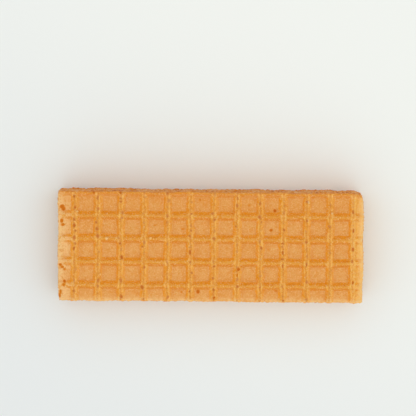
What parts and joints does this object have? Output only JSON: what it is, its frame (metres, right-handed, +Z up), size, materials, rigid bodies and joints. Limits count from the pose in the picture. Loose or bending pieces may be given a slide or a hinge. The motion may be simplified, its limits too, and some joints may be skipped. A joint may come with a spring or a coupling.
{
  "type": "sugar wafer",
  "caption": "Flat rectangular filled wafer: waffle-patterned sheets outside, a plain sheet in the middle and cream between them, lying on its ribs.",
  "frame": {"origin": "middle of the footprint, at the height of the bottom sheet's rib crests on which the wafer lies", "axes": "+X along the length, +Y across the width, +Z up out of the top waffle face"},
  "size_m": [0.07, 0.0252, 0.011],
  "materials": {
    "wafer_sheet": "dry baked wafer, matt golden tan",
    "wafer_core": "sawn edge of a baked sheet, matt brown",
    "cream": "dull crumbly fat cream, pale tan"
  },
  "bodies": {
    "root": {"bottom_sheet": "wafer_sheet", "lower_cream": "cream", "middle_sheet": "wafer_core", "upper_cream": "cream", "top_sheet": "wafer_sheet"}
  },
  "joints": []
}
